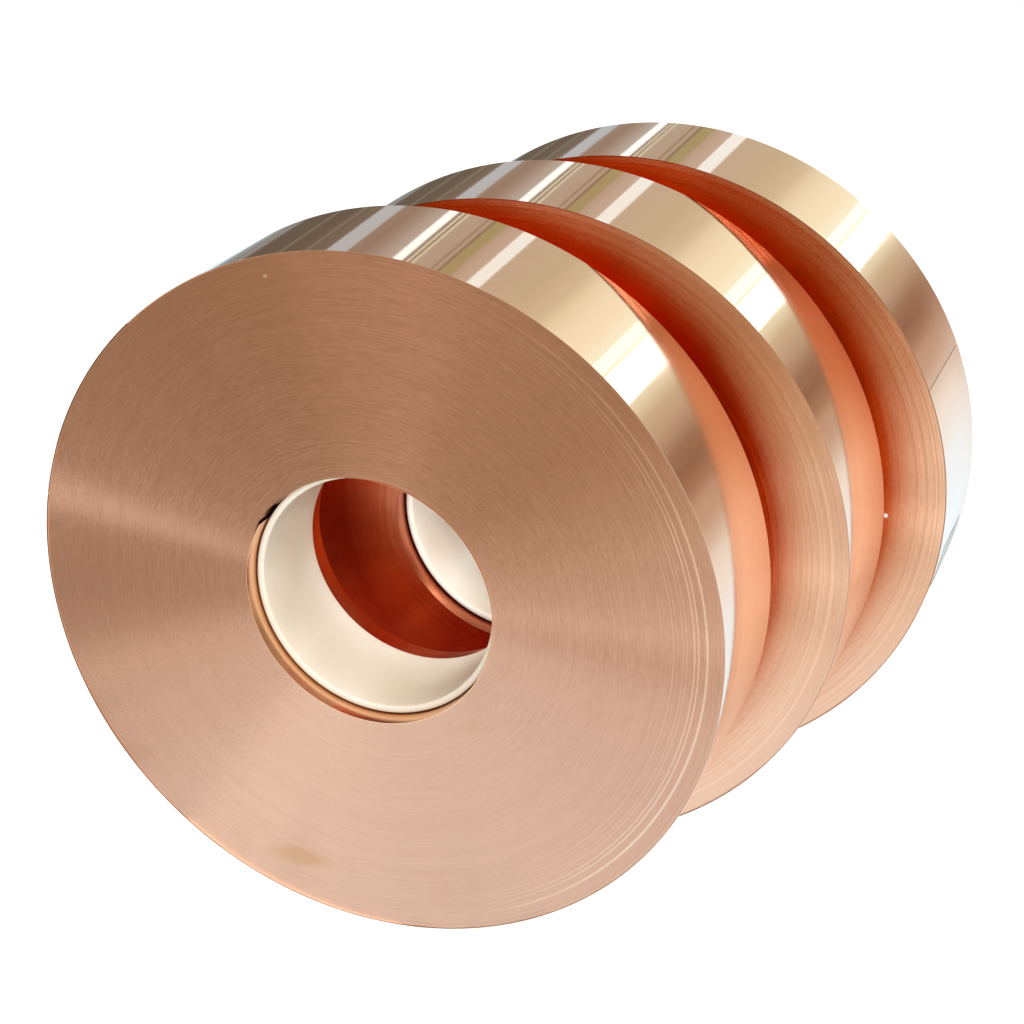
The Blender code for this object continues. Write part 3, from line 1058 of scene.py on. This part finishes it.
FRONT = (
    (-60, 1.12, 1.28, 1.34), (-30, 1.02, 1.12, 1.16), (-14, 0.94, 0.98, 0.94),
    (-9, 0.72, 0.68, 0.60), (-4, 0.80, 0.78, 0.70), (-1, 1.10, 1.12, 1.06),
    (0, 1.10, 1.12, 1.06), (2, 0.78, 0.74, 0.66), (14, 0.68, 0.61, 0.50),
    (40, 0.52, 0.42, 0.29), (78, 0.49, 0.38, 0.26), (82, 0.80, 0.67, 0.51),
    (84, 0.80, 0.67, 0.51),
    (89, 0.48, 0.37, 0.25), (98, 0.48, 0.37, 0.25), (101, 0.78, 0.66, 0.50),
    (103, 0.78, 0.66, 0.50), (106, 0.47, 0.36, 0.24), (140, 0.46, 0.37, 0.26),
    (158, 0.52, 0.43, 0.32), (168, 0.52, 0.43, 0.32), (169, 1.50, 1.52, 1.46),
    (171, 1.40, 1.40, 1.34), (173, 0.55, 0.46, 0.35), (193, 0.64, 0.56, 0.46),
    (201, 1.02, 1.04, 0.95), (222, 1.06, 1.16, 1.17), (236, 1.40, 1.63, 1.67),
    (254, 1.34, 1.57, 1.63), (268, 1.17, 1.36, 1.42), (284, 1.12, 1.31, 1.37),
    (300, 1.12, 1.28, 1.34),
)
print("stops behind:", len(BACK_LOW) + len(BACK_HIGH), "hard strips:", len(BACK_STRIPS))

# %% [markdown]
# A rim mirrors the sky behind the rolls, and there the angle about the rolls' axis picks
# the strip. A face mirrors one point low down in front, drawn out along the radius, and
# there the angle about that point picks the light. So the sky is two fans of strips,
# blended where front meets back, with a tall window on the right.

# %% Sky
FRONT_POLE = (-0.33, -0.40)
SPREAD = 4.1
SPREAD_LIMIT = 0.30
SPREAD_MIDDLE = 0.9413
SPREAD_TILT = -0.0258
WINDOW_LOW = (1.34, 1.40, 1.34)
WINDOW_HIGH = (0.95, 0.72, 0.48)


def sky_colour(light):
    """A light's colour divided by SKY_SCALE, so that the brightest strips fit a colour ramp."""
    return tuple(channel / SKY_SCALE for channel in light) + (1.0,)


def strip_ramp(tree, angle, strips):
    """Colour ramp over an angle in radians, from stops of degrees, red, green and blue."""
    first = strips[0][0]
    last = strips[-1][0]
    position = map_range(tree, angle, math.radians(first), math.radians(last), 0.0, 1.0)
    ramp = tree.nodes.new("ShaderNodeValToRGB")
    tree.links.new(position, ramp.inputs["Fac"])
    elements = ramp.color_ramp.elements
    while len(elements) > 1:
        elements.remove(elements[-1])
    for number, (degrees, *colour) in enumerate(strips):
        place_at = (degrees - first) / (last - first)
        element = elements[0] if number == 0 else elements.new(place_at)
        element.position = place_at
        element.color = sky_colour(colour)
    return ramp.outputs["Color"]


def hard_strips(tree, angle, base, strips):
    """Lay strips with sharp sides over a base colour: each is one between its two angles."""
    colour = base
    for low, high, *light in strips:
        above = math_node(tree, "GREATER_THAN", angle, math.radians(low))
        below = math_node(tree, "LESS_THAN", angle, math.radians(high))
        inside = math_node(tree, "MULTIPLY", above, below)
        colour = blend_colours(tree, inside, colour, sky_colour(light))
    return colour


def side_window(tree, right, up, base):
    """A tall window to the right of the camera: white low down, copper pink higher up."""
    inside = map_range(tree, right, 0.50, 0.60, 0.0, 1.0)
    height = map_range(tree, up, -0.10, 0.22, 0.0, 1.0)
    window = blend_colours(tree, height, sky_colour(WINDOW_LOW), sky_colour(WINDOW_HIGH))
    return blend_colours(tree, inside, base, window)


def fan_angle(tree, right, up, pole, lowest):
    """Angle about a pole in the plane across the axis, wrapped to start at lowest degrees."""
    across = math_node(tree, "SUBTRACT", right, pole[0])
    above = math_node(tree, "SUBTRACT", up, pole[1])
    angle = math_node(tree, "ARCTAN2", above, across)
    return math_node(tree, "WRAP", angle, math.radians(lowest + 360.0), math.radians(lowest))


def spread_strips(tree, angle, forward):
    """Let the strips behind spread apart as they run back, as strips of finite length do.

    The spread is SPREAD times how far the direction runs back beyond a middle one, which is
    SPREAD_MIDDLE plus SPREAD_TILT times the angle. It grows from none at 60 degrees to full
    at 135, and is held within SPREAD_LIMIT on either side.
    """
    share = map_range(tree, angle, math.radians(60.0), math.radians(135.0), 0.0, SPREAD)
    middle = math_node(tree, "MULTIPLY_ADD", angle, SPREAD_TILT, SPREAD_MIDDLE)
    beyond = math_node(tree, "SUBTRACT", forward, middle)
    drift = math_node(tree, "MULTIPLY", beyond, share)
    not_above = math_node(tree, "MINIMUM", drift, SPREAD_LIMIT)
    held = math_node(tree, "MAXIMUM", not_above, -SPREAD_LIMIT)
    return math_node(tree, "SUBTRACT", angle, held)


def add_sky():
    """World colour from the two fans; angles run from +X (0) over the top to -X (180)."""
    world = bpy.data.worlds.new("studio_sky")
    bpy.context.scene.world = world
    world.use_nodes = True
    tree = world.node_tree
    tree.nodes.clear()
    place = tree.nodes.new("ShaderNodeTexCoord")
    right, forward, up = split_vector(tree, place.outputs["Generated"])
    back_angle = fan_angle(tree, right, up, (0.0, 0.0), BACK_LOW[0][0])
    back_angle = spread_strips(tree, back_angle, forward)
    is_high = math_node(tree, "GREATER_THAN", back_angle, math.radians(BACK_HIGH[0][0]))
    behind = blend_colours(
        tree, is_high, strip_ramp(tree, back_angle, BACK_LOW), strip_ramp(tree, back_angle, BACK_HIGH)
    )
    behind = hard_strips(tree, back_angle, behind, BACK_STRIPS)
    before = strip_ramp(tree, fan_angle(tree, right, up, FRONT_POLE, FRONT[0][0]), FRONT)
    before = side_window(tree, right, up, before)
    in_front = map_range(tree, forward, -0.25, 0.15, 1.0, 0.0)
    strips = add_node(tree, "ShaderNodeBackground", Strength=SKY_SCALE)
    tree.links.new(blend_colours(tree, in_front, behind, before), strips.inputs["Color"])
    plain = add_node(tree, "ShaderNodeBackground", Color=(1.0, 1.0, 1.0, 1.0), Strength=1.0)
    rays = tree.nodes.new("ShaderNodeLightPath")
    choose = tree.nodes.new("ShaderNodeMixShader")
    tree.links.new(rays.outputs["Is Camera Ray"], choose.inputs["Fac"])
    tree.links.new(strips.outputs["Background"], choose.inputs[1])
    tree.links.new(plain.outputs["Background"], choose.inputs[2])
    output = tree.nodes.new("ShaderNodeOutputWorld")
    tree.links.new(choose.outputs["Shader"], output.inputs["Surface"])


add_sky()
print("sky ready")

# %% [markdown]
# A broad softbox overhead lights everything evenly. A fill in front is hidden from
# reflections, which have their strips already. A tiny lamp inside the front bore stands
# for the light that real cores hand on from bore to bore.

# %% Lamps
BORE_LAMP_IN = 0.008
BORE_LAMP_OFF = 0.012


def add_softbox(name, place, aim, size, power):
    """Square area light at a place, turned to face a point."""
    data = bpy.data.lights.new(name, "AREA")
    data.size = size
    data.energy = power
    lamp = bpy.data.objects.new(name, data)
    lamp.location = place
    direction = np.array(aim) - np.array(place)
    lamp.rotation_euler = Vector(direction).to_track_quat("-Z", "Y").to_euler()
    bpy.context.collection.objects.link(lamp)
    return lamp


add_softbox("overhead_softbox", (0.1, 0.2, 2.2), (0.0, 0.2, 0.0), 2.6, 62.0)
fill = add_softbox("front_fill", (0.66, -1.75, 0.95), (0.0, -0.05, 0.12), 0.45, 35.0)
fill.visible_glossy = False
near = rolls["front"]
behind = rolls["middle"]
bore = add_softbox(
    "bore_lamp", (near["x"] + BORE_LAMP_OFF, near["back"] - BORE_LAMP_IN, near["z"] + BORE_LAMP_OFF),
    (behind["x"] - 0.01, behind["front"] + 0.02, near["z"] - 0.02), 0.03, 0.02,
)
bore.visible_glossy = False
bpy.context.scene.view_settings.view_transform = "Standard"
print("lamps:", sorted(item.name for item in bpy.data.lights))
